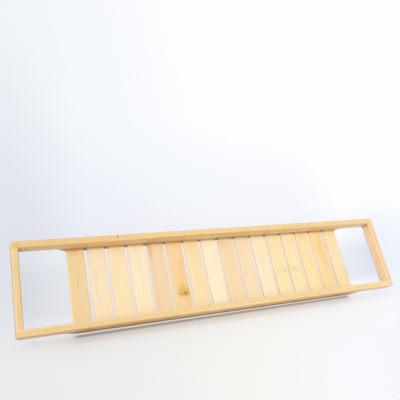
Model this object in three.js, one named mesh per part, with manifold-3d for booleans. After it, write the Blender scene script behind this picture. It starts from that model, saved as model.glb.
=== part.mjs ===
// Slatted wooden bath caddy: two stepped side boards, two end bars and a row of crosswise slats.
// Length runs along X, width along Y and height along Z. The origin is at the centre of the base.
// All sizes are in millimetres.
import * as THREE from 'three';
import { mergeVertices } from 'three/addons/utils/BufferGeometryUtils.js';
import Module from 'manifold-3d';

// Overall size of the frame
const overallLength = 738.5;
const overallWidth = 150;
const overallHeight = 40;

// Side boards: full height under the slats, lower over the rim of the tub
const boardThickness = 11.5;
const boardEndHeight = 23.3;
const rampRun = 28;
const rampInset = 8.5;

// End bars, fitted between the side boards
const barThickness = 11.3;

// Slats, let into a groove along the inner face of each side board
const slatCount = 16;
const slatWidth = 29.8;
const slatGap = 5.8;
const slatThickness = 4.5;
const slatDepthBelowRim = 24.8;
const grooveDepth = 5;

// Dowels that hold each end bar to the side boards, two at each corner, one above the other
const dowelDiameter = 5;
const dowelSpacing = 10;
const dowelDepthInBoard = 7;
const dowelDepthInBar = 18;
const dowelTipChamfer = 0.6;

// Rounded edges: the frame's corners seen from above, its long edges, the slats' edges,
// and the fine arris that is left where two pieces meet
const cornerRadius = 3;
const edgeRadius = 2.2;
const slatEdgeRadius = 0.9;
const arrisRadius = 0.3;

// Clearances: all round a slat in its groove, round a dowel, and past a dowel's tip
const slatClearance = 0.3;
const dowelClearance = 0.3;
const dowelTipClearance = 0.5;

// One overrun serves every cut
const cutOverrun = 2;

// Facets: on each rounded edge, along each ramp and round each dowel
const edgeFacets = 3;
const rampFacets = 8;
const dowelFacets = 16;

// Colours of the pieces as they are read from the front of the finished caddy
const frameColour = 0xf3d29a;
const dowelColour = 0xd9b27c;
const slatColours = [
  0xf0cf9a, 0xf6dcb4, 0xf9e0b2, 0xfce6bc,
  0xf3cfa2, 0xf1cb90, 0xfcdfa9, 0xfbe9c8,
  0xf3d5aa, 0xf5d7ac, 0xfce7c0, 0xfbe0ae,
  0xfadfae, 0xfadca4, 0xfad494, 0xfadcaa,
];

// Places that follow from the sizes above
const halfLength = overallLength / 2;
const halfWidth = overallWidth / 2;
const innerHalfWidth = halfWidth - boardThickness;
const stepHeight = overallHeight - boardEndHeight;
const slatPitch = slatWidth + slatGap;
const fieldLength = slatCount * slatPitch - slatGap;
const rampFoot = fieldLength / 2 - rampInset;
const slatTop = overallHeight - slatDepthBelowRim;
const slatBottom = slatTop - slatThickness;
const barCentre = halfLength - barThickness / 2;
const dowelMiddle = stepHeight + boardEndHeight / 2;
const dowelHeights = [dowelMiddle - dowelSpacing / 2, dowelMiddle + dowelSpacing / 2];

const wasm = await Module();
wasm.setup();

const wood = (colour) => new THREE.MeshStandardMaterial({ color: colour, roughness: 0.55, metalness: 0 });

function toSolid(geometry) {
  const bare = geometry.clone();
  bare.deleteAttribute('normal');
  bare.deleteAttribute('uv');
  const merged = mergeVertices(bare);
  return new wasm.Manifold(new wasm.Mesh({
    numProp: 3,
    vertProperties: new Float32Array(merged.attributes.position.array),
    triVerts: new Uint32Array(merged.index.array),
  }));
}

function toGeometry(solid) {
  const { vertProperties, triVerts } = solid.getMesh();
  const geometry = new THREE.BufferGeometry();
  geometry.setAttribute('position', new THREE.BufferAttribute(vertProperties, 3));
  geometry.setIndex(new THREE.BufferAttribute(triVerts, 1));
  geometry.computeVertexNormals();
  return geometry;
}

function cut(geometry, cutters) {
  return toGeometry(cutters.reduce((solid, cutter) => solid.subtract(toSolid(cutter)), toSolid(geometry)));
}

// A rectangle with rounded corners, anticlockwise from its lower right corner
function roundedRing(low, high, radii) {
  const corners = [
    [high.x, low.y, -1, 1],
    [high.x, high.y, -1, -1],
    [low.x, high.y, 1, -1],
    [low.x, low.y, 1, 1],
  ];
  return corners.flatMap(([x, y, inX, inY], corner) => {
    const radius = radii[corner];
    const centre = new THREE.Vector2(x + inX * radius, y + inY * radius);
    return Array.from({ length: edgeFacets + 1 }, (_, facet) => {
      const angle = (corner - 1 + facet / edgeFacets) * Math.PI / 2;
      return new THREE.Vector2(centre.x + radius * Math.cos(angle), centre.y + radius * Math.sin(angle));
    });
  });
}

// A closed skin over rings of equal count that stand one after the other along X
function loft(stations) {
  const count = stations[0].ring.length;
  const positions = stations.flatMap(({ x, ring }) => ring.flatMap((point) => [x, point.x, point.y]));
  const index = [];
  for (let station = 0; station + 1 < stations.length; station += 1) {
    for (let j = 0; j < count; j += 1) {
      const here = station * count + j;
      const beside = station * count + (j + 1) % count;
      index.push(here, beside, here + count);
      index.push(beside, beside + count, here + count);
    }
  }
  const last = (stations.length - 1) * count;
  for (let j = 1; j + 1 < count; j += 1) {
    index.push(0, j + 1, j);
    index.push(last, last + j, last + j + 1);
  }
  const geometry = new THREE.BufferGeometry();
  geometry.setAttribute('position', new THREE.Float32BufferAttribute(positions, 3));
  geometry.setIndex(index);
  geometry.computeVertexNormals();
  return geometry;
}

// How far a quarter-round edge has drawn in at a distance from the end
function roundInset(radius, distance) {
  const short = Math.max(radius - distance, 0);
  return radius - Math.sqrt(radius ** 2 - short ** 2);
}

// Underside of a side board: level under the slats, then an easy ramp up to the part over the rim
function boardUnderside(x) {
  const along = THREE.MathUtils.clamp((Math.abs(x) - rampFoot) / rampRun, 0, 1);
  return stepHeight * (1 - Math.cos(Math.PI * along)) / 2;
}

// Places along half a side board where its section changes, from the middle to the end
function boardPlaces() {
  const ramp = Array.from({ length: rampFacets + 1 }, (_, k) => rampFoot + rampRun * k / rampFacets);
  const innerEnd = halfLength - barThickness;
  const corner = Array.from({ length: edgeFacets + 1 }, (_, k) => {
    const angle = k / edgeFacets * Math.PI / 2;
    return halfLength - cornerRadius * (1 - Math.sin(angle));
  });
  return [...ramp, innerEnd - edgeRadius, innerEnd, ...corner];
}

// One side board: side is -1 for the near one and 1 for the far one
function sideBoard(side) {
  const half = boardPlaces();
  const places = [...half.map((x) => -x).reverse(), ...half];
  const stations = places.map((x) => {
    const distance = halfLength - Math.abs(x);
    const edge = roundInset(edgeRadius, distance);
    const inner = side * innerHalfWidth;
    const outer = side * (halfWidth - roundInset(cornerRadius, distance));
    const low = new THREE.Vector2(Math.min(inner, outer), boardUnderside(x) + edge);
    const high = new THREE.Vector2(Math.max(inner, outer), overallHeight - edge);
    const innerRadius = distance > barThickness ? edgeRadius : arrisRadius;
    const right = side > 0 ? edgeRadius : innerRadius;
    const left = side > 0 ? innerRadius : edgeRadius;
    return { x, ring: roundedRing(low, high, [right, right, left, left]) };
  });
  const grooveHeight = slatThickness + 2 * slatClearance;
  const groove = new THREE.BoxGeometry(
    fieldLength + 2 * slatClearance, grooveDepth + cutOverrun, grooveHeight);
  groove.translate(
    0, side * (innerHalfWidth + (grooveDepth - cutOverrun) / 2), slatBottom + slatThickness / 2);
  const holes = dowelPlaces().filter((place) => place.side === side).map(({ x, z }) => (
    dowelHole(dowelDepthInBoard, x, side * innerHalfWidth, z, side)
  ));
  return cut(loft(stations), [groove, ...holes]);
}

// One end bar, with a bore for each dowel in both of its ends
function endBar(end) {
  const low = new THREE.Vector2(-barThickness / 2, stepHeight);
  const high = new THREE.Vector2(barThickness / 2, overallHeight);
  const outline = new THREE.Shape(roundedRing(low, high, Array(4).fill(edgeRadius)));
  const bar = new THREE.ExtrudeGeometry(outline, { depth: 2 * innerHalfWidth, bevelEnabled: false });
  bar.rotateX(Math.PI / 2);
  bar.translate(end * barCentre, innerHalfWidth, 0);
  const holes = dowelPlaces().filter((place) => place.end === end).map(({ x, z, side }) => (
    dowelHole(dowelDepthInBar, x, side * innerHalfWidth, z, -side)
  ));
  return cut(bar, holes);
}

// A bore along Y, from a face at faceY into the wood on the side that into points to
function dowelHole(depth, x, faceY, z, into) {
  const radius = dowelDiameter / 2 + dowelClearance;
  const hole = new THREE.CylinderGeometry(radius, radius, depth + cutOverrun, dowelFacets);
  hole.translate(x, faceY + into * (depth - cutOverrun) / 2, z);
  return hole;
}

// Every dowel's end of the caddy, side and height
function dowelPlaces() {
  return [-1, 1].flatMap((end) => [-1, 1].flatMap((side) => (
    dowelHeights.map((z) => ({ end, side, x: end * barCentre, z }))
  )));
}

// A dowel along Y with chamfered tips
function dowel() {
  const radius = dowelDiameter / 2;
  const half = (dowelDepthInBoard + dowelDepthInBar) / 2 - dowelTipClearance;
  const tip = radius - dowelTipChamfer;
  const profile = [
    new THREE.Vector2(0, -half),
    new THREE.Vector2(tip, -half),
    new THREE.Vector2(radius, -half + dowelTipChamfer),
    new THREE.Vector2(radius, half - dowelTipChamfer),
    new THREE.Vector2(tip, half),
    new THREE.Vector2(0, half),
  ];
  return new THREE.LatheGeometry(profile, dowelFacets);
}

// One slat, lying flat along Y with its ends in the two grooves
function slat() {
  const length = 2 * (innerHalfWidth + grooveDepth - slatClearance);
  const low = new THREE.Vector2(-slatWidth / 2, slatBottom);
  const high = new THREE.Vector2(slatWidth / 2, slatTop);
  const outline = new THREE.Shape(roundedRing(low, high, Array(4).fill(slatEdgeRadius)));
  const geometry = new THREE.ExtrudeGeometry(outline, { depth: length, bevelEnabled: false });
  geometry.rotateX(Math.PI / 2);
  geometry.translate(0, length / 2, 0);
  return geometry;
}

function addPiece(group, name, geometry, colour, x = 0, y = 0, z = 0) {
  const piece = new THREE.Mesh(geometry, wood(colour));
  piece.name = name;
  piece.position.set(x, y, z);
  group.add(piece);
}

const caddy = new THREE.Group();
caddy.name = 'bath_caddy';

addPiece(caddy, 'side_board_near', sideBoard(-1), frameColour);
addPiece(caddy, 'side_board_far', sideBoard(1), frameColour);
addPiece(caddy, 'end_bar_left', endBar(-1), frameColour);
addPiece(caddy, 'end_bar_right', endBar(1), frameColour);

for (let k = 0; k < slatCount; k += 1) {
  const x = (k - (slatCount - 1) / 2) * slatPitch;
  const name = `slat_${String(k + 1).padStart(2, '0')}`;
  addPiece(caddy, name, slat(), slatColours[k % slatColours.length], x);
}

const dowelCentre = innerHalfWidth + (dowelDepthInBoard - dowelDepthInBar) / 2;
for (const { end, side, x, z } of dowelPlaces()) {
  const where = [end < 0 ? 'left' : 'right', side < 0 ? 'near' : 'far', z < dowelMiddle ? 'lower' : 'upper'];
  addPiece(caddy, `dowel_${where.join('_')}`, dowel(), dowelColour, x, side * dowelCentre, z);
}

export default caddy;
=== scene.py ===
import math
import bmesh
import bpy
from bpy.props import FloatProperty, FloatVectorProperty, IntProperty, PointerProperty
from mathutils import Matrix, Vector


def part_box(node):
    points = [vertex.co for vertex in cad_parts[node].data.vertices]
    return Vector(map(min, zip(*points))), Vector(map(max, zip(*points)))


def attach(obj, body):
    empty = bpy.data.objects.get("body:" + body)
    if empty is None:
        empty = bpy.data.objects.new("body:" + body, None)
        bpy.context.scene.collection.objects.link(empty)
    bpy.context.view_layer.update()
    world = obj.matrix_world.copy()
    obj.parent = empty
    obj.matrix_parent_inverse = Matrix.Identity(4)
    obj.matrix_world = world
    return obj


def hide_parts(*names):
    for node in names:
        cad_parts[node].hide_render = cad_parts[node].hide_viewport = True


bl_info = {
    "name": "Bamboo bath caddy",
    "version": (1, 0, 0),
    "blender": (4, 5, 0),
    "location": "View3D > Sidebar > Caddy",
    "description": "Builds a slatted bamboo bath caddy over its packed frame, with a pale studio",
    "category": "Object",
}

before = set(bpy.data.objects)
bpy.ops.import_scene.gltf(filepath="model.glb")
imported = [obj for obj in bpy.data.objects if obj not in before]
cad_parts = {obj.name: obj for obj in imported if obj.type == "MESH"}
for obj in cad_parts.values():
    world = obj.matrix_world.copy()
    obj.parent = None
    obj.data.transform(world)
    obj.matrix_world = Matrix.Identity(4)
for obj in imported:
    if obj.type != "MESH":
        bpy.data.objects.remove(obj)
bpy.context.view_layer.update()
BODY = "root"
MM = 0.001
TINY = 0.01 * MM
HALF = (0.5, 0.5, 0.5)
BLACK = (0.0, 0.0, 0.0, 1.0)

# Edges that turn by more than this stay crisp
SHARP = math.radians(35)

# A strip of cane is where it begins and its size in mm, and this one is wider than any piece
UNDIVIDED = (-1000, 2000)

# How far apart a cane's joints are in mm, and how much its tone and the glue beside it show
NODE_SPACING = 260
STRIP_SHOWS = 0.22
GLUE_SHOWS = 0.22

# The floor lies a hair below the caddy, so that no two faces share a place
FLOOR_GAP = 0.1 * MM

# Between these distances from the caddy, in metres, the floor fades into the backdrop
FADE_BEGINS = 1.4
FADE_ENDS = 3.5

# A thin line of shadow comes 2.6 mm nearer to the near board for each metre to the right
LINE_SLOPE = -0.0026


def linear(colour):
    """The linear red, green, blue and alpha of an sRGB hex value."""
    parts = [(colour >> shift & 255) / 255 for shift in (16, 8, 0)]
    return (*[c / 12.92 if c <= 0.04045 else ((c + 0.055) / 1.055) ** 2.4 for c in parts], 1.0)


# Each slat from left to right: material slot, tone of its first strip, tone of its second strip,
# where the two strips meet in mm from the slat's middle, and its marks.
# A mark is its middle and half size along X and Y in mm, its colour, its strength
# and how much of it is soft edge. Marks go right through a slat, as in real bamboo.
SLATS = [
    ("slat_bamboo_tan", 0xF1D6A3, 0xF1D6A8, -6.0, [
        ((-277.5, -15.0), (7.0, 70.0), 0xF0CC84, 0.30, 0.9),
        ((-267.0, 62.0), (16.0, 14.0), 0xE0A868, 0.35, 0.9),
        ((-267.5, 5.0), (1.8, 12.0), 0xC9A070, 0.45, 0.8),
    ]),
    ("slat_bamboo_cream", 0xF9E6C3, 0xF9E5C0, 5.0, []),
    ("slat_bamboo_cream", 0xFAE3B9, 0xFBE8BC, -4.0, []),
    ("slat_bamboo_pale", 0xFDECC9, 0xFCEDC9, 7.0, []),
    ("slat_bamboo_tan", 0xF3D5AC, 0xF4D9B2, -7.0, [
        ((-135.4, 46.0), (5.0, 20.0), 0xE9B078, 0.50, 0.9),
        ((-136.0, 60.0), (6.0, 10.0), 0xDB9C58, 0.50, 0.9),
        ((-113.8, 48.0), (3.4, 13.0), 0xEED08A, 0.50, 0.9),
        ((-135.5, -43.0), (2.8, 14.0), 0xF0C478, 0.40, 0.9),
    ]),
    ("slat_bamboo_amber", 0xF7D7A3, 0xF5D5A2, 6.0, [
        ((-82.5, 14.0), (8.0, 22.0), 0xECBE6A, 0.38, 0.9),
        ((-86.0, -13.0), (16.0, 27.0), 0xEFC656, 0.42, 0.9),
        ((-85.5, -29.5), (18.0, 17.0), 0xE0AE4A, 0.73, 0.9),
        ((-76.0, -34.0), (4.5, 12.0), 0xEDB060, 0.60, 0.9),
        ((-82.0, -41.5), (7.5, 4.5), 0xE8BE72, 0.50, 0.9),
        ((-92.0, -34.6), (5.6, 5.2), 0xC89642, 0.60, 0.8),
        ((-83.2, -34.4), (8.0, 6.2), 0xBC763A, 0.72, 0.75),
    ]),
    ("slat_bamboo_cream", 0xFDE6B8, 0xFBE4B4, -5.0, [
        ((-62.0, 47.0), (8.0, 20.0), 0xF6D08E, 0.35, 0.9),
        ((-46.0, 51.0), (8.0, 12.0), 0xF5CC90, 0.35, 0.9),
        ((-43.0, -14.0), (5.0, 14.0), 0xF2DA84, 0.35, 0.9),
    ]),
    ("slat_bamboo_pale", 0xFDF2D2, 0xFCF0CF, 4.0, []),
    ("slat_bamboo_tan", 0xF7DFB8, 0xF7DFB6, -4.0, [
        ((9.0, 50.0), (9.0, 13.0), 0xF2B880, 0.35, 0.9),
    ]),
    ("slat_bamboo_tan", 0xF9E3BD, 0xFAE4C1, 6.0, [
        ((46.0, -12.3), (10.0, 7.5), 0xD4A676, 0.22, 1.0),
    ]),
    ("slat_bamboo_pale", 0xFEEFD1, 0xFCECC6, -6.0, []),
    ("slat_bamboo_cream", 0xFCE7B7, 0xFBE8B6, 5.0, [
        ((117.5, -14.0), (10.0, 7.5), 0xE2B878, 0.28, 1.0),
        ((134.0, -14.0), (9.0, 7.5), 0xC8A068, 0.28, 1.0),
    ]),
    ("slat_bamboo_cream", 0xFCE9B9, 0xFCEABB, -5.0, [
        ((151.0, -8.0), (7.5, 11.0), 0xF3D68A, 0.30, 0.9),
        ((158.5, -13.5), (17.5, 8.0), 0xCCA670, 0.30, 1.0),
    ]),
    ("slat_bamboo_yellow", 0xFCE7B3, 0xFBE5B3, 4.0, [
        ((195.8, 55.0), (17.0, 11.0), 0xF6C8A4, 0.45, 0.9),
        ((184.5, 30.0), (4.5, 22.0), 0xF7D488, 0.30, 0.9),
    ]),
    ("slat_bamboo_yellow", 0xFBDEA2, 0xFBDDA7, 3.0, [
        ((235.0, 22.0), (13.0, 52.0), 0xF3BE78, 0.34, 0.9),
    ]),
    ("slat_bamboo_cream", 0xFAE6BA, 0xFAE5B9, -5.0, [
        ((276.0, -30.0), (8.0, 36.0), 0xF6CFA6, 0.30, 0.9),
    ]),
]

# Marks go through a slat from the middle of its thickness, in mm
SLAT_MIDDLE = 13.0
THROUGH = 1000.0

# Paler along a slat's long edges, and painted light on its near end beside the near board
PALE_SLAT_EDGE = 0xFFF4E2
NEAR_END_LIGHT = 0xFFF4DC

# Painted shade where a slat enters its groove
GROOVE_SHADES = [("Y", 57.5, 62.5, 0xCFC3B3), ("Y", -62.5, -64.5, 0xCFC3B3)]

# The frame's pieces: tones, shades and marks, and for a board first its side of the middle.
# Tones are the ground colour, then changes: the axis that a change runs on, where it begins
# and is full in mm, and its colour. Shades run in the same way, and their colour multiplies
# what is there. Marks are as for the slats, with X, Y and Z.
# A board is glued up from two strips, one above the other; its shades are painted shade.
BOARDS = {
    "far": (1, [
        # Paler to the right: partly the cane's tone, partly painted light
        0xF1CC90, ("X", -260.0, -60.0, 0xF9D79D), ("X", 60.0, 300.0, 0xFCDAA5),
    ], [
        # Painted shade: darker on the outer face, towards the underside and on the left end
        ("Y", 74.5, 75.0, 0xF1E9E1), ("Z", 17.8, 16.0, 0xDAC49E), ("X", -368.6, -369.1, 0xE1E8FE),
    ], [
        ((-359.5, 66.5, 40.0), (5.0, 5.5, 3.0), 0xE6A856, 0.50, 0.8),
        ((-197.5, 70.6, 39.5), (1.3, 3.2, 4.0), 0x6E4522, 0.80, 0.6),
        ((-30.0, 64.0, 39.5), (190.0, 1.8, 3.5), 0xA87440, 0.35, 0.6),
        ((-127.0, 63.5, 26.0), (26.0, 4.0, 20.0), 0xE09A4C, 0.30, 0.9),
        ((52.0, 63.5, 24.0), (30.0, 4.0, 16.0), 0xE8A070, 0.30, 0.9),
        ((105.0, 63.5, 24.0), (14.0, 3.0, 20.0), 0xC09A3C, 0.35, 0.9),
        ((246.0, 63.5, 20.0), (18.0, 3.0, 12.0), 0xA88840, 0.35, 0.9),
        ((-250.0, 63.5, 27.0), (2.2, 1.6, 18.0), 0x9E6A36, 0.50, 0.8),
        # The next four are painted light on the inner face: paler at its ends and along its middle
        ((-325.0, 63.0, 25.0), (75.0, 5.0, 15.0), 0xF3E0C8, 0.50, 0.9),
        ((325.0, 63.0, 25.0), (75.0, 5.0, 15.0), 0xFCECD8, 0.70, 0.9),
        ((165.0, 63.5, 21.0), (200.0, 6.0, 10.0), 0xFFEBC6, 0.50, 0.7),
        ((-25.0, 63.5, 20.0), (55.0, 4.0, 16.0), 0xFFECBA, 0.50, 0.9),
        # The last two are painted shade in the corners beside the bars
        ((-356.0, 63.5, 24.0), (6.0, 3.0, 14.0), 0x94693C, 0.45, 0.9),
        ((357.5, 63.5, 25.0), (3.0, 2.5, 16.0), 0x5C4128, 0.60, 0.8),
    ]),
    "near": (-1, [
        # Paler to the right: partly the cane's tone, partly painted light
        0xF1D49F, ("X", -260.0, 0.0, 0xFADCA3), ("X", 60.0, 300.0, 0xFEE0AA),
        # Painted light on the rounded inner edge and inner face
        ("Y", -66.0, -64.0, 0xFFEAC2),
    ], [
        # Painted shade: darker on the outer face, towards the underside and on the left end
        ("Y", -74.5, -75.0, 0xF1E9E1), ("Z", 20.0, 17.5, 0xBC9866), ("X", -368.6, -369.1, 0xE1E8FE),
    ], [
        # The next three are painted shade on the outer face, darker to the left and near the underside
        ((-220.0, -75.0, 28.0), (200.0, 4.5, 26.0), 0xE09A30, 0.40, 0.8),
        ((-262.0, -75.0, 20.0), (20.0, 4.0, 22.0), 0xB06A30, 0.40, 0.9),
        ((238.0, -75.0, 16.0), (26.0, 4.0, 16.0), 0xA0704A, 0.35, 0.9),
        ((179.5, -71.3, 40.0), (2.6, 2.2, 3.0), 0xAE9458, 0.40, 0.8),
        # The last two are painted light on the outer face near the ends
        ((-335.0, -75.0, 28.0), (80.0, 6.0, 16.0), 0xF2DDC4, 0.40, 0.9),
        ((340.0, -75.0, 29.0), (110.0, 6.0, 19.0), 0xFFEFD8, 0.90, 0.9),
    ]),
}
BARS = {
    "left": ([
        0xF0D4A0, ("Y", -20.0, 60.0, 0xF1D5A2),
    ], [
        # Painted shade on the outer end face
        ("X", -368.6, -369.1, 0xE1E8FE),
    ], [
        ((-363.5, -40.0, 40.0), (1.2, 26.0, 3.0), 0xD6A45E, 0.40, 0.8),
        ((-359.6, -10.0, 40.0), (1.4, 55.0, 3.0), 0xDCA25A, 0.35, 0.8),
    ]),
    "right": ([
        # The last change is painted light on the inner face
        0xF9D7A5, ("Y", -20.0, 60.0, 0xF8D4A2), ("X", 358.8, 358.1, 0xFADDB5),
    ], [
        # Painted shade towards the bottom of the inner face
        ("Z", 20.0, 17.5, 0xD6C8BC),
    ], [
        # The first mark is painted shade in the corner beside the far board, the second a dark spot
        ((357.9, 62.8, 25.0), (2.5, 3.0, 16.0), 0x5C4128, 0.60, 0.8),
        ((357.9, 57.5, 34.0), (2.0, 2.2, 2.6), 0x9A6C3C, 0.55, 0.8),
    ]),
}

# What every colour and every length in the panel has
COLOUR = {"size": 4, "min": 0.0, "max": 1.0, "subtype": "COLOR"}
LENGTH = {"unit": "LENGTH", "subtype": "DISTANCE"}


class CaddySizes(bpy.types.PropertyGroup):
    """Sizes of the rounded edges and the worked shapes."""

    corner_radius: FloatProperty(
        name="Corner radius", description="Rounding of the frame's corners seen from above",
        default=3.0 * MM, min=0.5 * MM, max=8.0 * MM, **LENGTH)
    edge_radius: FloatProperty(
        name="Edge radius", description="Rounding along the edges of the frame",
        default=2.2 * MM, min=0.5 * MM, max=5.0 * MM, **LENGTH)
    slat_edge_radius: FloatProperty(
        name="Slat edge radius", description="Rounding along the edges of the slats",
        default=0.9 * MM, min=0.2 * MM, max=2.0 * MM, **LENGTH)
    arris: FloatProperty(
        name="Arris", description="Fine edge left where two pieces meet",
        default=0.3 * MM, min=0.1 * MM, max=1.0 * MM, **LENGTH)
    ramp_foot: FloatProperty(
        name="Ramp foot", description="Distance from the middle to where the underside starts to rise",
        default=273.4 * MM, min=200.0 * MM, max=330.0 * MM, **LENGTH)
    ramp_run: FloatProperty(
        name="Ramp run", description="Length over which the underside rises",
        default=28.0 * MM, min=5.0 * MM, max=50.0 * MM, **LENGTH)
    groove_reach: FloatProperty(
        name="Groove reach", description="Distance from the middle to each end of the groove",
        default=282.2 * MM, min=200.0 * MM, max=340.0 * MM, **LENGTH)
    groove_low: FloatProperty(
        name="Groove bottom", description="Height of the groove's lower side",
        default=10.4 * MM, min=3.0 * MM, max=20.0 * MM, **LENGTH)
    groove_high: FloatProperty(
        name="Groove top", description="Height of the groove's upper side",
        default=15.5 * MM, min=5.0 * MM, max=30.0 * MM, **LENGTH)
    groove_depth: FloatProperty(
        name="Groove depth", description="How deep the slats are let into the side boards",
        default=5.0 * MM, min=1.0 * MM, max=8.0 * MM, **LENGTH)
    round_steps: IntProperty(
        name="Rounding steps", description="Facets across each rounded edge",
        default=5, min=2, max=12)
    ramp_steps: IntProperty(
        name="Ramp steps", description="Facets along each ramp",
        default=18, min=6, max=40)


class CaddyFinish(bpy.types.PropertyGroup):
    """Colours and surface of the bamboo and the dowels."""

    streak: FloatVectorProperty(
        name="Streak colour", description="Broad darker streaks along the grain",
        default=linear(0xE6B878), **COLOUR)
    fibre: FloatVectorProperty(
        name="Fibre colour", description="Fine fibre bundles in the bamboo",
        default=linear(0xC8995E), **COLOUR)
    glue: FloatVectorProperty(
        name="Glue line colour", description="Seam between two strips",
        default=linear(0xB98B56), **COLOUR)
    node: FloatVectorProperty(
        name="Node colour", description="Thin bands where the cane had a joint",
        default=linear(0xAE7A45), **COLOUR)
    end_grain: FloatVectorProperty(
        name="End grain colour", description="Cut ends of the side boards",
        default=linear(0xE3C59A), **COLOUR)
    dowel_light: FloatVectorProperty(
        name="Dowel colour", description="Ground colour of the turned beech dowels",
        default=linear(0xDDB988), **COLOUR)
    dowel_dark: FloatVectorProperty(
        name="Dowel fleck colour", description="Darker flecks in the beech",
        default=linear(0xB98A58), **COLOUR)
    gloss_low: FloatProperty(
        name="Smoothest", description="Roughness where the lacquer lies smooth",
        default=0.40, min=0.1, max=0.9, subtype="FACTOR")
    gloss_high: FloatProperty(
        name="Roughest", description="Roughness over the open fibres",
        default=0.56, min=0.1, max=0.9, subtype="FACTOR")
    relief: FloatProperty(
        name="Grain relief", description="Height of the grain under the lacquer",
        default=0.06 * MM, min=0.0, max=0.5 * MM, **LENGTH)


class CaddyStage(bpy.types.PropertyGroup):
    """Floor, lamp, sky and camera."""

    floor_size: FloatProperty(
        name="Floor size", description="Half the floor's side",
        default=6.0, min=1.0, max=20.0, **LENGTH)
    paper_left: FloatVectorProperty(
        name="Floor at left", description="Colour of the floor to the left",
        default=linear(0xEEF2F8), **COLOUR)
    paper_right: FloatVectorProperty(
        name="Floor at right", description="Colour of the floor to the right",
        default=linear(0xFBFDFE), **COLOUR)
    paper_before: FloatVectorProperty(
        name="Floor before", description="Tint of the floor in front of the caddy",
        default=linear(0xF9F7F2), **COLOUR)
    paper_before_right: FloatVectorProperty(
        name="Floor before at right", description="Tint of the floor in front of the caddy to the right",
        default=linear(0xF9F9FB), **COLOUR)
    shade_before: FloatVectorProperty(
        name="Shade before", description="What shadows in front of the caddy keep of the floor's colour",
        default=(0.12, 0.08, 0.05, 1.0), **COLOUR)
    shade_ends: FloatVectorProperty(
        name="Shade at the ends",
        description="What shadows before the raised ends keep of the floor's colour",
        default=(0.52, 0.38, 0.32, 1.0), **COLOUR)
    shade_inside: FloatVectorProperty(
        name="Shade inside", description="What shadows inside the frame keep of the floor's colour",
        default=(0.92, 0.93, 0.95, 1.0), **COLOUR)
    shade_behind: FloatVectorProperty(
        name="Shade behind", description="What shadows behind the caddy keep of the floor's colour",
        default=(0.50, 0.54, 0.66, 1.0), **COLOUR)
    # The next five are tints of painted shade on the floor about the frame's ends and behind it
    beside_left: FloatVectorProperty(
        name="Beside the left end", description="Tint of the floor around the caddy's left end",
        default=(0.87, 0.87, 0.88, 1.0), **COLOUR)
    beside_right: FloatVectorProperty(
        name="Beside the right end", description="Tint of the floor around the caddy's right end",
        default=(0.90, 0.92, 1.0, 1.0), **COLOUR)
    behind: FloatVectorProperty(
        name="Behind", description="Tint of the floor just behind the caddy",
        default=(0.94, 0.95, 0.98, 1.0), **COLOUR)
    inside_left: FloatVectorProperty(
        name="Inside at left", description="Tint of the floor inside the frame's left end",
        default=(0.93, 0.93, 0.945, 1.0), **COLOUR)
    inside_right: FloatVectorProperty(
        name="Inside at right", description="Tint of the floor inside the frame's right end",
        default=(0.855, 0.865, 0.915, 1.0), **COLOUR)
    # The next two are tints of painted shadow on the floor before the slatted part
    contact_line: FloatVectorProperty(
        name="Contact line", description="Tint of the thin line of shadow before the slatted part",
        default=(0.54, 0.46, 0.42, 1.0), **COLOUR)
    contact_shade: FloatVectorProperty(
        name="Contact shade", description="Tint of the soft shadow before the slatted part",
        default=(0.88, 0.84, 0.82, 1.0), **COLOUR)
    # The next three make the floor under the slats glow warm: painted light, as from the bamboo
    under_left: FloatVectorProperty(
        name="Under the slats at left", description="Floor seen between the slats to the left",
        default=linear(0xF0E6E4), **COLOUR)
    under_right: FloatVectorProperty(
        name="Under the slats at right", description="Floor seen between the slats to the right",
        default=linear(0xF9E4CB), **COLOUR)
    under_near: FloatVectorProperty(
        name="Under the slats, nearer", description="Tint of the nearer floor under the slats",
        default=(0.92, 0.94, 0.87, 1.0), **COLOUR)
    floor_bounce: FloatVectorProperty(
        name="Floor bounce", description="Light that the floor sends back to the caddy",
        default=(0.66, 0.64, 0.62, 1.0), **COLOUR)
    backdrop: FloatVectorProperty(
        name="Backdrop", description="Seen colour beyond the floor",
        default=linear(0xF6F8FA), **COLOUR)
    fill: FloatProperty(
        name="Fill", description="Even light from all round",
        default=0.65, min=0.0, max=2.0)
    key_strength: FloatProperty(
        name="Key strength", description="Strength of the large soft lamp",
        default=1.5, min=0.0, max=20.0)
    key_spread: FloatProperty(
        name="Key spread", description="Angle that the large soft lamp fills, as seen from the caddy",
        default=math.radians(50), min=0.0, max=math.pi, unit="ROTATION", subtype="ANGLE")
    key_from: FloatVectorProperty(
        name="Key from", description="Direction from the caddy to the large soft lamp",
        default=(-0.62, 0.0, 0.78), size=3, subtype="DIRECTION")
    camera_place: FloatVectorProperty(
        name="Camera place", description="Where the camera stands",
        default=(-0.42374, -0.20334, 0.83019), size=3, unit="LENGTH", subtype="XYZ")
    camera_turn: FloatVectorProperty(
        name="Camera turn", description="How the camera is turned",
        default=[math.radians(turn) for turn in (25.9115, -21.6828, -12.3071)],
        size=3, unit="ROTATION", subtype="EULER")
    camera_lens: FloatProperty(
        name="Camera lens", description="Focal length in mm for a sensor 36 mm wide",
        default=44.9415, min=10.0, max=200.0)


def add(tree, kind, inputs=None, **settings):
    """Adds a node, gives it its settings, and fills or links its inputs."""
    node = tree.nodes.new(kind)
    for name, value in settings.items():
        setattr(node, name, value)
    for name, value in (inputs or {}).items():
        if isinstance(value, bpy.types.NodeSocket):
            tree.links.new(value, node.inputs[name])
        else:
            node.inputs[name].default_value = value
    return node


def new_material(name):
    """A material with an empty node tree, and the tree."""
    material = bpy.data.materials.new(name)
    material.use_nodes = True
    material.node_tree.nodes.clear()
    return material, material.node_tree


def along(grain, length, width):
    """The scale of a pattern that is length mm long on the grain's axis and width mm across it."""
    return [1 / length if axis == grain else 1 / width for axis in "XYZ"]


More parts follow.
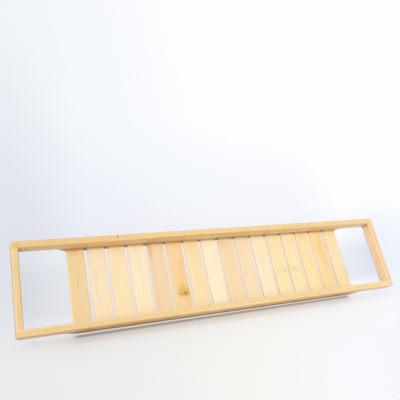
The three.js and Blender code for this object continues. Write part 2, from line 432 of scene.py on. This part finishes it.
def change_along(tree, colour, changes, **settings):
    """Turns a colour to others, each from where its value begins to where it is full."""
    for value, begins, full, other in changes:
        share = add(tree, "ShaderNodeMapRange", {
            "Value": value, "From Min": begins, "From Max": full,
        }, interpolation_type="SMOOTHSTEP").outputs[0]
        colour = add(tree, "ShaderNodeMix", {
            0: share, 6: colour, 7: other}, data_type="RGBA", **settings).outputs[2]
    return colour


def strip_cells(tree, mm, strips, seed):
    """The place on a piece counted in strips, and a number drawn for each strip."""
    starts = [start for start, size in strips]
    sizes = [size for start, size in strips]
    offset = add(tree, "ShaderNodeVectorMath", {0: mm, 1: starts}, operation="SUBTRACT").outputs[0]
    cells = add(tree, "ShaderNodeVectorMath", {0: offset, 1: sizes}, operation="DIVIDE").outputs[0]
    index = add(tree, "ShaderNodeVectorMath", {0: cells}, operation="FLOOR").outputs[0]
    numbered = add(tree, "ShaderNodeVectorMath", {
        0: index, 1: (seed, 0, 0)}, operation="ADD").outputs[0]
    chance = add(tree, "ShaderNodeTexWhiteNoise", {
        "Vector": numbered}, noise_dimensions="3D").outputs["Value"]
    return cells, chance


def grain_layers(tree, mm, grain, seed, figure):
    """Broad streaks of 5 mm and more, soft clouds, and fibre bundles along the grain.

    The bundles are 0.3 mm wide in the cane and are drawn 1 mm wide so that they show. A layer is
    its share and its tint. The last pattern, that of the bundles, comes with the layers.
    """
    finish = bpy.context.scene.caddy_finish
    layers = []

    # The shift only sets the patterns of the pieces well apart
    shift = (seed * 7.3, seed * 3.7, seed * 5.1)
    for length, width, detail, low, high, most, tint in (
        (150, 5, 2.0, 0.48, 0.75, 0.40, finish.streak),
        (40, 15, 1.0, 0.50, 0.75, 0.25, finish.streak),
        (35, 1, 3.0, 0.50, 0.80, 0.28, finish.fibre),
    ):
        stretched = add(tree, "ShaderNodeMapping", {
            "Vector": mm, "Location": shift, "Scale": along(grain, length, width)}).outputs[0]
        pattern = add(tree, "ShaderNodeTexNoise", {
            "Vector": stretched, "Scale": 1.0, "Detail": detail}).outputs[0]
        share = add(tree, "ShaderNodeMapRange", {
            "Value": pattern, "From Min": low, "From Max": high, "To Max": most * figure}).outputs[0]
        layers.append((share, tint))
    return layers, pattern


def glue_layers(tree, cells, strips, figure):
    """Glue lines between the strips, 0.1 mm wide in the board and drawn about 0.6 mm wide."""
    finish = bpy.context.scene.caddy_finish
    part = add(tree, "ShaderNodeVectorMath", {0: cells}, operation="FRACTION").outputs[0]
    centred = add(tree, "ShaderNodeVectorMath", {0: part, 1: HALF}, operation="SUBTRACT").outputs[0]
    away = add(tree, "ShaderNodeVectorMath", {0: centred}, operation="ABSOLUTE").outputs[0]
    away = add(tree, "ShaderNodeSeparateXYZ", {0: away}).outputs
    layers = []
    for axis, (start, size) in zip("XYZ", strips):
        if (start, size) != UNDIVIDED:
            share = add(tree, "ShaderNodeMapRange", {
                "Value": away[axis], "From Min": 0.5 - 0.5 / size, "From Max": 0.5 - 0.1 / size,
                "To Max": GLUE_SHOWS * figure}).outputs[0]
            layers.append((share, finish.glue))
    return layers


def wavy_place(tree, mm):
    """The place in mm, shifted by up to 2.5 mm in waves 6 mm long, for uneven outlines."""
    waves = add(tree, "ShaderNodeTexNoise", {
        "Vector": mm, "Scale": 0.16, "Detail": 1.0}).outputs["Color"]
    waves = add(tree, "ShaderNodeVectorMath", {0: waves, 1: HALF}, operation="SUBTRACT").outputs[0]
    return add(tree, "ShaderNodeVectorMath", {
        0: waves, 1: (5, 5, 5), 2: mm}, operation="MULTIPLY_ADD").outputs[0]


def band_layers(tree, wavy, grain, chance, bands):
    """Node bands, 260 mm apart along a cane and at another place in each strip."""
    finish = bpy.context.scene.caddy_finish
    run = add(tree, "ShaderNodeSeparateXYZ", {0: wavy}).outputs[grain]
    cane = add(tree, "ShaderNodeMath", {
        0: run, 1: 1 / NODE_SPACING, 2: chance}, operation="MULTIPLY_ADD").outputs[0]
    away = add(tree, "ShaderNodeMath", {0: cane}, operation="FRACT").outputs[0]
    away = add(tree, "ShaderNodeMath", {0: away, 1: 0.5}, operation="SUBTRACT").outputs[0]
    away = add(tree, "ShaderNodeMath", {0: away}, operation="ABSOLUTE").outputs[0]
    layers = []
    for reach, full, most, tint in ((7.0, 1.0, 0.35, finish.streak), (1.2, 0.3, 0.55, finish.node)):
        share = add(tree, "ShaderNodeMapRange", {
            "Value": away, "From Min": reach / NODE_SPACING, "From Max": full / NODE_SPACING,
            "To Max": most * bands,
        }, interpolation_type="SMOOTHSTEP").outputs[0]
        layers.append((share, tint))
    return layers


def mark_layers(tree, wavy, marks):
    """Marks at chosen places: spots, stains and knots, and patches of painted light and painted shade.
    """
    layers = []
    for middle, half, tint, strength, soft in marks:
        centred = add(tree, "ShaderNodeMapping", {
            "Vector": wavy, "Location": [-m / h for m, h in zip(middle, half)],
            "Scale": [1 / h for h in half]}).outputs[0]
        reach = add(tree, "ShaderNodeVectorMath", {
            0: centred}, operation="LENGTH").outputs["Value"]
        share = add(tree, "ShaderNodeMapRange", {
            "Value": reach, "From Min": 1.0, "From Max": 1.0 - soft, "To Max": strength,
        }, interpolation_type="SMOOTHSTEP").outputs[0]
        layers.append((share, linear(tint)))
    return layers


def end_grain_layers(tree, mm, axes, grain, cut_end):
    """End grain: a darker ground with the cut bundles as dots, 0.5 mm in the cane and drawn 1 mm."""
    finish = bpy.context.scene.caddy_finish
    out = add(tree, "ShaderNodeMath", {0: axes[grain]}, operation="ABSOLUTE").outputs[0]
    shown = add(tree, "ShaderNodeMapRange", {
        "Value": out, "From Min": cut_end - 0.8, "From Max": cut_end - 0.1}).outputs[0]
    dotted = add(tree, "ShaderNodeMapping", {
        "Vector": mm, "Scale": [0.0 if axis == grain else 0.9 for axis in "XYZ"]}).outputs[0]
    dots = add(tree, "ShaderNodeTexVoronoi", {"Vector": dotted, "Scale": 1.0}).outputs["Distance"]
    share = add(tree, "ShaderNodeMapRange", {
        "Value": dots, "From Min": 0.40, "From Max": 0.20, "To Max": 0.5}).outputs[0]
    share = add(tree, "ShaderNodeMath", {0: share, 1: shown}, operation="MULTIPLY").outputs[0]
    return [(shown, finish.end_grain), (share, finish.node)]


def laminated_bamboo(
        name, grain, seed, tones, strips, marks, shades, figure, bands=0.0, cut_end=None):
    """Laminated moso bamboo, planed, sanded and given a clear satin lacquer.

    strips are where a strip begins and its size in mm, on X, Y and Z. figure is the strength of
    the grain, bands that of the node bands, and cut_end the distance in mm from the middle to
    cut ends that show end grain.
    """
    finish = bpy.context.scene.caddy_finish
    material, tree = new_material(name)
    place = add(tree, "ShaderNodeTexCoord").outputs["Object"]
    mm = add(tree, "ShaderNodeVectorMath", {
        0: place, 1: (1 / MM, 1 / MM, 1 / MM)}, operation="MULTIPLY").outputs[0]
    axes = add(tree, "ShaderNodeSeparateXYZ", {0: mm}).outputs

    # Pale straw ground, a little warmer on one side or end than on the other, and painted light
    colour = change_along(tree, linear(tones[0]), [
        (axes[axis], begins, full, linear(tone)) for axis, begins, full, tone in tones[1:]])

    # Strips 6 to 22 mm wide, each from another cane and so of another tone
    cells, chance = strip_cells(tree, mm, strips, seed)
    darker = add(tree, "ShaderNodeMapRange", {
        "Value": chance, "To Max": STRIP_SHOWS * figure}).outputs[0]
    layers, fibres = grain_layers(tree, mm, grain, seed, figure)
    layers = [(darker, finish.streak), *layers, *glue_layers(tree, cells, strips, figure)]

    # Bands and marks with uneven outlines, and the cut ends
    wavy = wavy_place(tree, mm)
    if bands:
        layers += band_layers(tree, wavy, grain, chance, bands)
    layers += mark_layers(tree, wavy, marks)
    if cut_end:
        layers += end_grain_layers(tree, mm, axes, grain, cut_end)
    for share, tint in layers:
        colour = add(tree, "ShaderNodeMix", {
            0: share, 6: colour, 7: tint}, data_type="RGBA").outputs[2]
    # The shades darken with painted shade: outer faces, lower parts, ends and groove corners
    colour = change_along(tree, colour, [
        (axes[axis], begins, full, linear(shade)) for axis, begins, full, shade in shades
    ], blend_type="MULTIPLY")

    # Satin lacquer: a soft sheen, a little duller and lower over the open fibres
    rough = add(tree, "ShaderNodeMapRange", {
        "Value": fibres, "From Min": 0.35, "From Max": 0.75,
        "To Min": finish.gloss_low, "To Max": finish.gloss_high}).outputs[0]
    relief = add(tree, "ShaderNodeBump", {
        "Height": fibres, "Strength": 0.6, "Distance": finish.relief}, invert=True).outputs[0]
    shader = add(tree, "ShaderNodeBsdfPrincipled", {
        "Base Color": colour, "Roughness": rough, "Normal": relief, "IOR": 1.5,
        "Specular IOR Level": 0.25}).outputs[0]
    add(tree, "ShaderNodeOutputMaterial", {"Surface": shader})
    return material


def beech_dowel():
    """Turned beech, left raw: fine short flecks along the dowel, dull all over."""
    finish = bpy.context.scene.caddy_finish
    material, tree = new_material("turned_beech")
    place = add(tree, "ShaderNodeTexCoord").outputs["Object"]
    stretched = add(tree, "ShaderNodeMapping", {
        "Vector": place, "Scale": [scale / MM for scale in along("Y", 5, 0.6)]}).outputs[0]
    flecks = add(tree, "ShaderNodeTexNoise", {
        "Vector": stretched, "Scale": 1.0, "Detail": 2.0}).outputs[0]
    share = add(tree, "ShaderNodeMapRange", {
        "Value": flecks, "From Min": 0.45, "From Max": 0.75, "To Max": 0.7}).outputs[0]
    colour = add(tree, "ShaderNodeMix", {
        0: share, 6: finish.dowel_light, 7: finish.dowel_dark}, data_type="RGBA").outputs[2]
    rough = add(tree, "ShaderNodeMapRange", {
        "Value": flecks, "To Min": 0.60, "To Max": 0.75}).outputs[0]
    relief = add(tree, "ShaderNodeBump", {
        "Height": flecks, "Strength": 0.5, "Distance": 0.05 * MM}, invert=True).outputs[0]
    shader = add(tree, "ShaderNodeBsdfPrincipled", {
        "Base Color": colour, "Roughness": rough, "Normal": relief, "IOR": 1.5}).outputs[0]
    add(tree, "ShaderNodeOutputMaterial", {"Surface": shader})
    return material


def block(node):
    """A bmesh box that fills a CAD node's box, with the box's lowest and highest corners."""
    low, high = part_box(node)
    bm = bmesh.new()
    bmesh.ops.create_cube(bm, size=1.0)
    bmesh.ops.scale(bm, vec=high - low, verts=bm.verts)
    bmesh.ops.translate(bm, vec=(low + high) / 2, verts=bm.verts)
    return bm, low, high


def round_off(bm, edges, radius, steps):
    """Rounds edges of a bmesh."""
    bmesh.ops.bevel(
        bm, geom=edges, offset=radius, offset_type="OFFSET", segments=steps, profile=0.5,
        affect="EDGES", material=-1, clamp_overlap=False)


def round_crosswise(bm, reach, radius, steps, arris, arris_steps):
    """Rounds a block that lies across the caddy: its long edges, then the edges of its ends."""
    edges = [edge for edge in bm.edges
             if abs(edge.verts[0].co.y - edge.verts[1].co.y) > reach]
    round_off(bm, edges, radius, steps)
    edges = [edge for edge in bm.edges
             if all(abs(vert.co.y) > reach - TINY for vert in edge.verts)]
    round_off(bm, edges, arris, arris_steps)


def split(bm, faces, point, normal):
    """Cuts some faces of a bmesh by a plane and leaves the rest whole."""
    parts = {part for face in faces for part in (*face.verts, *face.edges)}
    bmesh.ops.bisect_plane(
        bm, geom=[*parts, *faces], dist=0.1 * TINY, plane_co=point, plane_no=normal)


def middle_of(edge):
    """The point half way along an edge."""
    return (edge.verts[0].co + edge.verts[1].co) / 2


def place_piece(bm, name, node, material):
    """Turns a bmesh into a finished piece that stands for a CAD node."""
    bmesh.ops.recalc_face_normals(bm, faces=bm.faces)
    for face in bm.faces:
        face.smooth = True
    mesh = bpy.data.meshes.new(name)
    bm.to_mesh(mesh)
    bm.free()
    mesh.set_sharp_from_angle(angle=SHARP)
    mesh.materials.append(material)
    piece = bpy.data.objects.new(name, mesh)
    bpy.context.scene.collection.objects.link(piece)
    shading = piece.modifiers.new("Even shading", "WEIGHTED_NORMAL")
    shading.keep_sharp = True
    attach(piece, BODY)
    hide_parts(node)


class CADDY_OT_side_boards(bpy.types.Operator):
    """Make the two side boards, deep under the slats and shallow over the rim of the tub"""

    bl_idname = "caddy.side_boards"
    bl_label = "Side boards"

    def execute(self, context):
        sizes = context.scene.caddy_sizes

        # The bars begin at the right bar's lowest corner and are as deep as the boards' ends
        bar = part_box("end_bar_right")[0]
        for number, (where, (side, tones, shades, marks)) in enumerate(BOARDS.items()):
            node = "side_board_" + where
            bm, low, high = block(node)
            inner, outer = (low.y, high.y) if side > 0 else (high.y, low.y)
            self.cut_across(bm, sizes, bar.x)
            self.raise_ends(bm, sizes, low.z, bar.z)
            self.round_corners(bm, sizes, high.x, outer)
            self.round_long_edges(bm, sizes, inner, bar.x)
            self.ease_joints(bm, sizes, inner, bar.x)
            self.sink_groove(bm, sizes, inner, side)

            # Two strips 5.75 mm thick side by side, and two of 20 mm one above the other
            seam = (low.y + high.y) / 2 / MM
            strips = [UNDIVIDED, (seam - 6.3, 6.3), (-0.5, 20.5)]
            material = laminated_bamboo(
                "lacquered_bamboo_board_" + where, grain="X", seed=3.0 + 8.0 * number, tones=tones,
                strips=strips, marks=marks, shades=shades, figure=0.8, bands=0.35,
                cut_end=high.x / MM)
            place_piece(bm, "board_" + where, node, material)
        return {"FINISHED"}

    def cut_across(self, bm, sizes, bar_from):
        """Cross cuts for the ramps, the groove's ends and the bars."""
        places = [sizes.ramp_foot + sizes.ramp_run * step / sizes.ramp_steps
                  for step in range(sizes.ramp_steps + 1)]
        places += [sizes.groove_reach, bar_from - sizes.edge_radius, bar_from]
        for x in places:
            for end in (-1, 1):
                split(bm, bm.faces[:], (end * x, 0, 0), (1, 0, 0))

    def raise_ends(self, bm, sizes, deep, shallow):
        """The underside rises in an easy curve to the shallow ends."""
        for vert in bm.verts:
            if vert.co.z < deep + TINY:
                share = min(max((abs(vert.co.x) - sizes.ramp_foot) / sizes.ramp_run, 0.0), 1.0)
                vert.co.z = deep + (shallow - deep) * (1 - math.cos(math.pi * share)) / 2

    def round_corners(self, bm, sizes, end, outer):
        """Rounded corners seen from above."""
        corners = [edge for edge in bm.edges
                   if abs(edge.verts[0].co.x - edge.verts[1].co.x) < TINY
                   and abs(edge.verts[0].co.y - edge.verts[1].co.y) < TINY
                   and abs(middle_of(edge).x) > end - TINY
                   and abs(middle_of(edge).y - outer) < TINY]
        round_off(bm, corners, sizes.corner_radius, sizes.round_steps + 1)

    def round_long_edges(self, bm, sizes, inner, bar_from):
        """Rounded long edges, on the inner side only between the bars."""
        bm.normal_update()
        edges = []
        for edge in bm.edges:
            upright, level = sorted(abs(face.normal.z) for face in edge.link_faces)
            middle = middle_of(edge)
            on_inner = abs(middle.y - inner) < TINY
            beside_bar = on_inner and abs(middle.x) > bar_from - sizes.edge_radius
            if upright < 0.1 and level > 0.5 and not beside_bar:
                edges.append(edge)
        round_off(bm, edges, sizes.edge_radius, sizes.round_steps)

    def ease_joints(self, bm, sizes, inner, bar_from):
        """A fine arris round the faces that meet the bars."""
        edges = []
        for edge in bm.edges:
            on_face = all(abs(vert.co.y - inner) < TINY for vert in edge.verts)
            within = all(abs(face.calc_center_median().y - inner) < TINY for face in edge.link_faces)
            if on_face and not within and abs(middle_of(edge).x) > bar_from:
                edges.append(edge)
        round_off(bm, edges, sizes.arris, steps=2)

    def inner_faces(self, bm, sizes, inner):
        """The faces of the inner side between the groove's ends."""
        return [face for face in bm.faces
                if abs(face.calc_center_median().y - inner) < TINY
                and abs(face.calc_center_median().x) < sizes.groove_reach]

    def sink_groove(self, bm, sizes, inner, side):
        """The groove that the slats' ends are let into."""
        for z in (sizes.groove_low, sizes.groove_high):
            split(bm, self.inner_faces(bm, sizes, inner), (0, 0, z), (0, 0, 1))
        strip = [face for face in self.inner_faces(bm, sizes, inner)
                 if sizes.groove_low < face.calc_center_median().z < sizes.groove_high]
        if not strip:
            raise RuntimeError("A side board has no face for its groove")
        pushed = bmesh.ops.extrude_face_region(bm, geom=strip)["geom"]
        verts = [part for part in pushed if isinstance(part, bmesh.types.BMVert)]
        bmesh.ops.translate(bm, vec=(0, side * sizes.groove_depth, 0), verts=verts)


class CADDY_OT_end_bars(bpy.types.Operator):
    """Make the two end bars that join the side boards"""

    bl_idname = "caddy.end_bars"
    bl_label = "End bars"

    def execute(self, context):
        sizes = context.scene.caddy_sizes
        for number, (where, (tones, shades, marks)) in enumerate(BARS.items()):
            node = "end_bar_" + where
            bm, low, high = block(node)
            round_crosswise(
                bm, high.y, sizes.edge_radius, sizes.round_steps, sizes.arris, arris_steps=2)

            # Two strips 5.65 mm thick side by side, each with a seam 20 mm above its underside
            seam = (low.x + high.x) / 2 / MM
            strips = [(seam - 6.2, 6.2), UNDIVIDED, (low.z / MM - 0.5, 20.5)]
            material = laminated_bamboo(
                "lacquered_bamboo_bar_" + where, grain="Y", seed=21.0 + 9.0 * number, tones=tones,
                strips=strips, marks=marks, shades=shades, figure=0.7)
            place_piece(bm, "bar_" + where, node, material)
        return {"FINISHED"}


class CADDY_OT_slats(bpy.types.Operator):
    """Make the row of crosswise slats, each of its own tone"""

    bl_idname = "caddy.slats"
    bl_label = "Slats"

    def execute(self, context):
        sizes = context.scene.caddy_sizes
        for number, (slot, first, second, joint, flat_marks) in enumerate(SLATS, start=1):
            node = f"slat_{number:02d}"
            bm, low, high = block(node)
            round_crosswise(bm, high.y, sizes.slat_edge_radius, 3, sizes.arris, arris_steps=1)

            # Two strips side by side, pressed flat, meeting at the slat's own seam
            left, right = low.x / MM, high.x / MM
            seam = (left + right) / 2 + joint
            tones = [
                first,
                ("X", seam - 0.3, seam + 0.3, second),
                ("X", left + 0.7, left + 0.1, PALE_SLAT_EDGE),
                ("X", right - 0.7, right - 0.1, PALE_SLAT_EDGE),
            ]
            strips = [(seam - 30, 30), UNDIVIDED, UNDIVIDED]

            # The near end is paler: painted light against the shade beside the near board
            near_end = ((seam, -63.0), (70.0, 13.0), NEAR_END_LIGHT, 0.45, 0.9)
            marks = [((*middle, SLAT_MIDDLE), (*half, THROUGH), tint, strength, soft)
                     for middle, half, tint, strength, soft in (*flat_marks, near_end)]
            material = laminated_bamboo(
                f"lacquered_bamboo_slat_{number:02d}", grain="Y", seed=40.0 + 3.0 * number,
                tones=tones, strips=strips, marks=marks, shades=GROOVE_SHADES, figure=0.3)
            place_piece(bm, f"bamboo_slat_{number:02d}", node, material)
        return {"FINISHED"}


class CADDY_OT_dowels(bpy.types.Operator):
    """Give the frame's dowels their wood"""

    bl_idname = "caddy.dowels"
    bl_label = "Dowels"

    def execute(self, context):
        material = beech_dowel()
        dowels = [node for name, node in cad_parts.items() if name.startswith("dowel_")]
        if not dowels:
            raise RuntimeError("The frame has no dowels")
        for dowel in dowels:
            for slot in dowel.material_slots:
                slot.material = material
        return {"FINISHED"}


class CADDY_OT_stage(bpy.types.Operator):
    """Make the pale floor, the soft light and the camera"""

    bl_idname = "caddy.stage"
    bl_label = "Stage"

    def execute(self, context):
        stage = context.scene.caddy_stage
        self.make_floor(stage)
        self.make_sky(context.scene, stage)
        self.make_key(context.scene, stage)
        self.make_camera(context.scene, stage)
        context.scene.view_settings.view_transform = "Standard"
        return {"FINISHED"}

    def make_floor(self, stage):
        """Matt white paper, near white to the eye, which still takes the caddy's soft shadow."""
        bm = bmesh.new()
        bmesh.ops.create_grid(bm, x_segments=2, y_segments=2, size=stage.floor_size)
        bmesh.ops.translate(bm, vec=(0, 0, -FLOOR_GAP), verts=bm.verts)
        mesh = bpy.data.meshes.new("floor")
        bm.to_mesh(mesh)
        bm.free()
        floor = bpy.data.objects.new("floor", mesh)
        bpy.context.scene.collection.objects.link(floor)

        material, tree = new_material("white_paper_floor")
        place = add(tree, "ShaderNodeTexCoord").outputs["Object"]
        x, y = add(tree, "ShaderNodeSeparateXYZ", {0: place}).outputs[:2]
        beside = add(tree, "ShaderNodeMath", {0: x}, operation="ABSOLUTE").outputs[0]

        # The slatted part reaches as far as the highest corner of its last slat
        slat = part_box("slat_16")[1]
        across = add(tree, "ShaderNodeMapRange", {
            "Value": x, "From Min": -slat.x, "From Max": slat.x}).outputs[0]
        paper = self.paper_colour(tree, stage, x, y)
        paper = self.tint_paper(tree, stage, paper, x, y, beside, across, slat)

        # Part of the colour stays in the shadows: little in front of the caddy, nearly all of it
        # inside its frame, and a bluish half behind. Places on the floor are in metres.
        kept = change_along(tree, stage.shade_before, [
            (beside, 0.270, 0.330, stage.shade_ends),
            (y, -0.085, -0.070, stage.shade_inside),
            (y, 0.070, 0.110, stage.shade_behind),
        ])
        shade = add(tree, "ShaderNodeVectorMath", {
            0: paper, 1: kept}, operation="MULTIPLY").outputs[0]
        lit = add(tree, "ShaderNodeVectorMath", {
            0: paper, 1: shade}, operation="SUBTRACT").outputs[0]

        # Under the slats the paper has a warm light, and far from the caddy it runs into the
        # backdrop, so that no horizon shows
        distance = add(tree, "ShaderNodeVectorMath", {
            0: place}, operation="LENGTH").outputs["Value"]
        away = add(tree, "ShaderNodeMapRange", {
            "Value": distance, "From Min": FADE_BEGINS, "From Max": FADE_ENDS,
        }, interpolation_type="SMOOTHSTEP").outputs[0]
        under, warm = self.under_slats(tree, stage, x, y, across, slat)
        for share, seen in ((under, warm), (away, stage.backdrop)):
            shade = add(tree, "ShaderNodeMix", {
                0: share, 6: shade, 7: seen}, data_type="RGBA").outputs[2]
            lit = add(tree, "ShaderNodeMix", {
                0: share, 6: lit, 7: BLACK}, data_type="RGBA").outputs[2]

        glow = add(tree, "ShaderNodeEmission", {"Color": shade, "Strength": 1.0}).outputs[0]
        plain = add(tree, "ShaderNodeBsdfDiffuse", {"Color": lit}).outputs[0]
        both = add(tree, "ShaderNodeAddShader", {0: glow, 1: plain}).outputs[0]
        bounce = add(tree, "ShaderNodeBsdfDiffuse", {"Color": stage.floor_bounce}).outputs[0]
        shader = add(tree, "ShaderNodeMixShader", {
            0: self.seen_directly(tree), 1: bounce, 2: both}).outputs[0]
        add(tree, "ShaderNodeOutputMaterial", {"Surface": shader})
        mesh.materials.append(material)

    def paper_colour(self, tree, stage, x, y):
        """The paper from left to right, with a tint towards the front."""
        paper = change_along(tree, stage.paper_left, [(x, -0.45, 0.15, stage.paper_right)])
        tint = change_along(tree, stage.paper_before, [(x, 0.02, 0.24, stage.paper_before_right)])
        before = add(tree, "ShaderNodeMapRange", {
            "Value": y, "From Min": 0.08, "From Max": -0.16}).outputs[0]
        return add(tree, "ShaderNodeMix", {
            0: before, 6: paper, 7: tint}, data_type="RGBA", blend_type="MULTIPLY").outputs[2]

    def tint_paper(self, tree, stage, paper, x, y, beside, across, slat):
        """Tints at chosen places, each where all its limits hold.

        A limit is a value, and where the tint begins and is full on it, in metres. The floor has
        painted shade: it is a little greyer beside the caddy's ends and behind it, and greyer still in
        the openings at both ends, where the tint fades out under the frame. In front of the slatted
        part a painted soft shadow lies on the floor, darkest in a thin line that runs closer to the
        near board at the right.
        """
        bar_low, bar_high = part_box("end_bar_right")
        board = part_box("side_board_far")[0].y
        inside = add(tree, "ShaderNodeMix", {
            0: across, 6: stage.inside_left, 7: stage.inside_right}, data_type="RGBA").outputs[2]
        line = add(tree, "ShaderNodeMath", {
            0: x, 1: LINE_SLOPE, 2: y}, operation="MULTIPLY_ADD").outputs[0]
        for tint, limits in (
            (stage.contact_line, (
                (beside, 0.284, 0.272), (line, -0.0760, -0.0780), (line, -0.0828, -0.0786))),
            (stage.contact_shade, (
                (beside, 0.295, 0.262), (line, -0.0700, -0.0750), (line, -0.0970, -0.0790))),
            (stage.beside_left, (
                (x, -0.22, -0.38), (y, -0.14, 0.03), (y, 0.60, 0.05))),
            (stage.beside_right, (
                (x, 0.30, 0.40), (x, 0.62, 0.45), (y, -0.14, 0.0), (y, 0.16, 0.03))),
            (stage.behind, (
                (x, -0.42, -0.28), (x, 0.38, 0.18), (y, 0.066, 0.088), (y, 0.36, 0.12))),
            (inside, (
                (beside, slat.x - 0.012, slat.x - 0.003),
                (x, -bar_high.x + 0.002, -bar_low.x + 0.002),
                (x, bar_high.x + 0.039, bar_low.x + 0.018),
                (y, -board + 0.004, -board + 0.030),
                (y, board, board - 0.054))),
        ):
            share = 1.0
            for value, begins, full in limits:
                share = add(tree, "ShaderNodeMapRange", {
                    "Value": value, "From Min": begins, "From Max": full, "To Max": share,
                }, interpolation_type="SMOOTHSTEP").outputs[0]
            paper = add(tree, "ShaderNodeMix", {
                0: share, 6: paper, 7: tint}, data_type="RGBA", blend_type="MULTIPLY").outputs[2]
        return paper

    def under_slats(self, tree, stage, x, y, across, slat):
        """Where the slats cover the paper, and the warm light that the bamboo throws on it."""
        masks = []
        for value, none, full in (
            (x, slat.x - 0.003, slat.x - 0.012),
            (y, slat.y + 0.006, slat.y - 0.006),
        ):
            away = add(tree, "ShaderNodeMath", {0: value}, operation="ABSOLUTE").outputs[0]
            masks.append(add(tree, "ShaderNodeMapRange", {
                "Value": away, "From Min": none, "From Max": full}).outputs[0])
        under = add(tree, "ShaderNodeMath", {
            0: masks[0], 1: masks[1]}, operation="MULTIPLY").outputs[0]
        warm = add(tree, "ShaderNodeMix", {
            0: across, 6: stage.under_left, 7: stage.under_right}, data_type="RGBA").outputs[2]
        nearer = add(tree, "ShaderNodeMapRange", {
            "Value": y, "From Min": 0.010, "From Max": -0.050}).outputs[0]
        warm = add(tree, "ShaderNodeMix", {
            0: nearer, 6: warm, 7: stage.under_near,
        }, data_type="RGBA", blend_type="MULTIPLY").outputs[2]
        return under, warm

    def seen_directly(self, tree):
        """1 for what the camera sees, straight or in gloss or glass, and 0 for light on the object."""
        rays = add(tree, "ShaderNodeLightPath").outputs
        seen = add(tree, "ShaderNodeMath", {
            0: rays["Is Camera Ray"], 1: rays["Is Glossy Ray"]}, operation="MAXIMUM").outputs[0]
        return add(tree, "ShaderNodeMath", {
            0: seen, 1: rays["Is Transmission Ray"]}, operation="MAXIMUM").outputs[0]

    def make_sky(self, scene, stage):
        """Even white light from all round, and a pale backdrop."""
        world = bpy.data.worlds.new("studio")
        scene.world = world
        world.use_nodes = True
        tree = world.node_tree
        tree.nodes.clear()
        light = add(tree, "ShaderNodeBackground", {
            "Color": (1, 1, 1, 1), "Strength": stage.fill}).outputs[0]
        pale = add(tree, "ShaderNodeBackground", {
            "Color": stage.backdrop, "Strength": 1.0}).outputs[0]
        shader = add(tree, "ShaderNodeMixShader", {
            0: self.seen_directly(tree), 1: light, 2: pale}).outputs[0]
        add(tree, "ShaderNodeOutputWorld", {"Surface": shader})

    def make_key(self, scene, stage):
        """One large soft lamp, high beyond the caddy's left end."""
        lamp = bpy.data.lights.new("key", "SUN")
        lamp.angle = stage.key_spread
        lamp.energy = stage.key_strength
        key = bpy.data.objects.new("key", lamp)
        scene.collection.objects.link(key)
        key.rotation_mode = "QUATERNION"
        key.rotation_quaternion = Vector(stage.key_from).to_track_quat("Z", "Y")

    def make_camera(self, scene, stage):
        """The camera at the photograph's viewing angle."""
        lens = bpy.data.cameras.new("view")
        lens.sensor_fit = "HORIZONTAL"
        lens.sensor_width = 36.0
        lens.lens = stage.camera_lens
        lens.clip_start = 0.01
        lens.clip_end = 50.0
        view = bpy.data.objects.new("view", lens)
        scene.collection.objects.link(view)
        view.location = stage.camera_place
        view.rotation_euler = stage.camera_turn
        scene.camera = view


BUILDERS = (
    CADDY_OT_side_boards,
    CADDY_OT_end_bars,
    CADDY_OT_slats,
    CADDY_OT_dowels,
    CADDY_OT_stage,
)


class CADDY_PT_panel(bpy.types.Panel):
    """Lists the caddy's builders and their sizes"""

    bl_idname = "CADDY_PT_panel"
    bl_label = "Bath caddy"
    bl_space_type = "VIEW_3D"
    bl_region_type = "UI"
    bl_category = "Caddy"

    def draw(self, context):
        layout = self.layout
        for builder in BUILDERS:
            layout.operator(builder.bl_idname)
        scene = context.scene
        for group in (scene.caddy_sizes, scene.caddy_finish, scene.caddy_stage):
            box = layout.box()
            for name in group.__annotations__:
                box.prop(group, name)


CLASSES = (CaddySizes, CaddyFinish, CaddyStage, *BUILDERS, CADDY_PT_panel)


def register():
    for one in CLASSES:
        bpy.utils.register_class(one)
    bpy.types.Scene.caddy_sizes = PointerProperty(type=CaddySizes)
    bpy.types.Scene.caddy_finish = PointerProperty(type=CaddyFinish)
    bpy.types.Scene.caddy_stage = PointerProperty(type=CaddyStage)


def unregister():
    del bpy.types.Scene.caddy_stage
    del bpy.types.Scene.caddy_finish
    del bpy.types.Scene.caddy_sizes
    for one in reversed(CLASSES):
        bpy.utils.unregister_class(one)


def main():
    register()
    bpy.ops.caddy.side_boards()
    bpy.ops.caddy.end_bars()
    bpy.ops.caddy.slats()
    bpy.ops.caddy.dowels()
    bpy.ops.caddy.stage()


if __name__ == "__main__":
    main()
